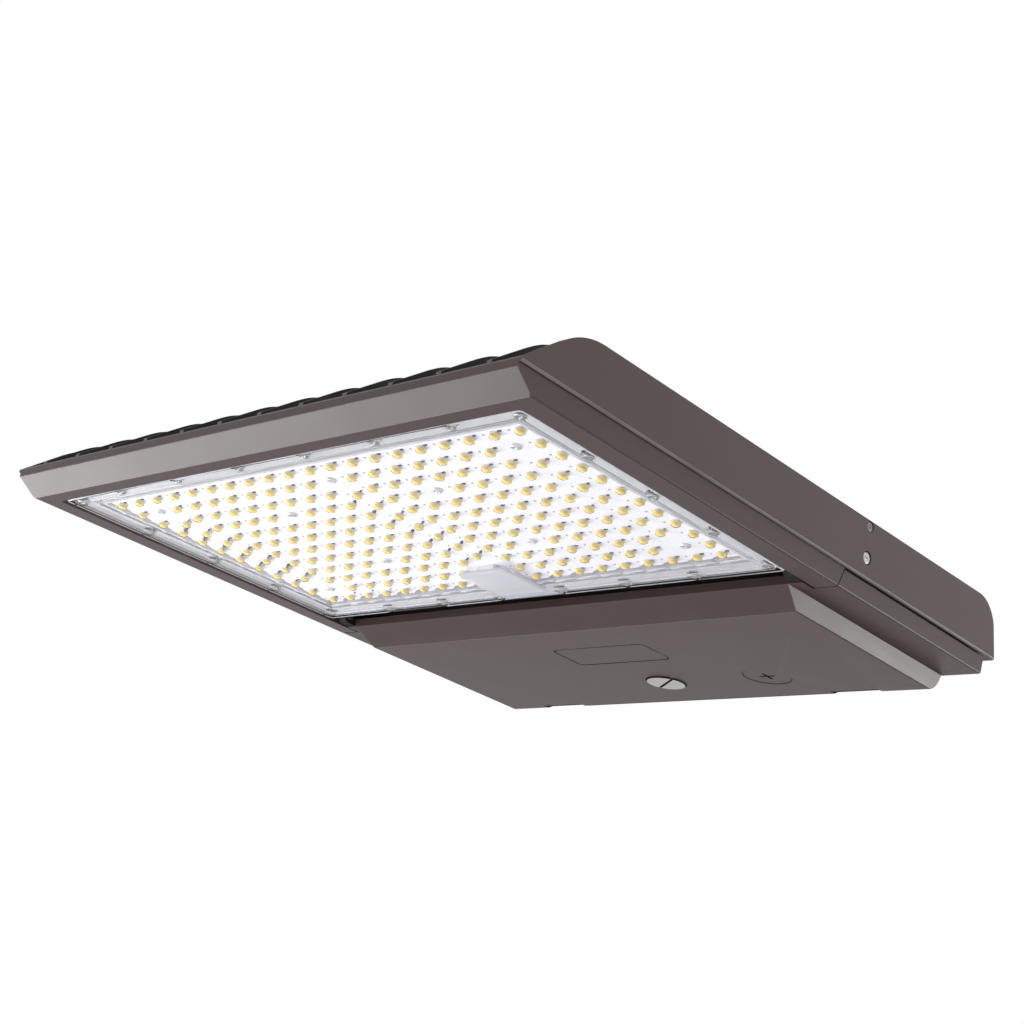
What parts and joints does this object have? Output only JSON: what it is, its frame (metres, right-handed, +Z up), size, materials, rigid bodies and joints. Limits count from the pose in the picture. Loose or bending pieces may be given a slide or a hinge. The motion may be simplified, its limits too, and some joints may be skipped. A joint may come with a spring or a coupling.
{
  "type": "area light",
  "caption": "Shoebox area light: finned die-cast housing with a flat LED optic ahead of a driver compartment, closed from below by a hinged door with a turn fastener.",
  "frame": {"origin": "centre of the two arm bolts, on the face of the rear mounting pad", "axes": "+Y from the nose to the arm, out of the rear face; +Z up, away from the lit side; +X across"},
  "size_m": [0.36, 0.3885, 0.0516],
  "materials": {
    "bronze_paint": "dark bronze powder coat, satin",
    "tray_steel": "zinc-plated sheet steel",
    "dark_screw": "darkened steel",
    "pad_grey": "matt",
    "board_white": "white solder mask",
    "led_yellow": "phosphor yellow",
    "screw_steel": "zinc plated",
    "spring_steel": "bright steel",
    "stud_metal": "cast and plated",
    "connector_white": "satin",
    "optic_clear": "clear polycarbonate, lightly frosted",
    "gasket_grey": "silicone, matt",
    "rubber_black": "matt",
    "driver_metal": "satin",
    "label_white": "plain, unprinted",
    "surge_plastic": "dark grey",
    "block_plastic": "natural nylon",
    "terminal_brass": "bright",
    "ground_green": "green dyed zinc",
    "lead_red": "wire insulation, one red and one blue",
    "lead_black": "wire insulation, black, white and green",
    "lead_white": "wire insulation, black, white and green"
  },
  "bodies": {
    "fixture": {"housing": "bronze_paint", "gear_tray": "tray_steel", "catch_bracket": "tray_steel", "side_screws": "dark_screw", "upper_screws": "dark_screw", "thermal_pad": "pad_grey", "led_board": "board_white", "leds": "led_yellow", "board_screws": "screw_steel", "optic_screws": "screw_steel", "driver_screws": "screw_steel", "surge_screws": "screw_steel", "block_screws": "screw_steel", "catch_screws": "screw_steel", "catch_spring": "spring_steel", "hinge_pins": "spring_steel", "led_connector": "connector_white", "optic_panel": "optic_clear", "optic_gasket": "gasket_grey", "wire_grommet": "rubber_black", "driver_case": "driver_metal", "driver_label_plate": "label_white", "surge_protector": "surge_plastic", "terminal_block": "block_plastic", "terminal_screws": "terminal_brass", "ground_screw": "ground_green", "led_leads": "lead_red", "supply_leads": "lead_black", "surge_leads": "lead_white"},
    "door": {"door": "bronze_paint", "door_gasket": "rubber_black", "closing_plug": "bronze_paint", "plug_clip": "spring_steel"},
    "turn_fastener": {"turn_stud": "stud_metal", "stud_clip": "spring_steel"}
  },
  "joints": [
    {"name": "door_hinge", "type": "hinge", "parent": "fixture", "child": "door", "pos_m": [0, -0.1645, -0.0194], "axis": [-1, 0, 0], "range_deg": [0, 90]},
    {"name": "fastener_turn", "type": "hinge", "parent": "door", "child": "turn_fastener", "pos_m": [0, -0.0519, -0.024], "axis": [0, 0, 1], "range_deg": [0, 90]}
  ]
}
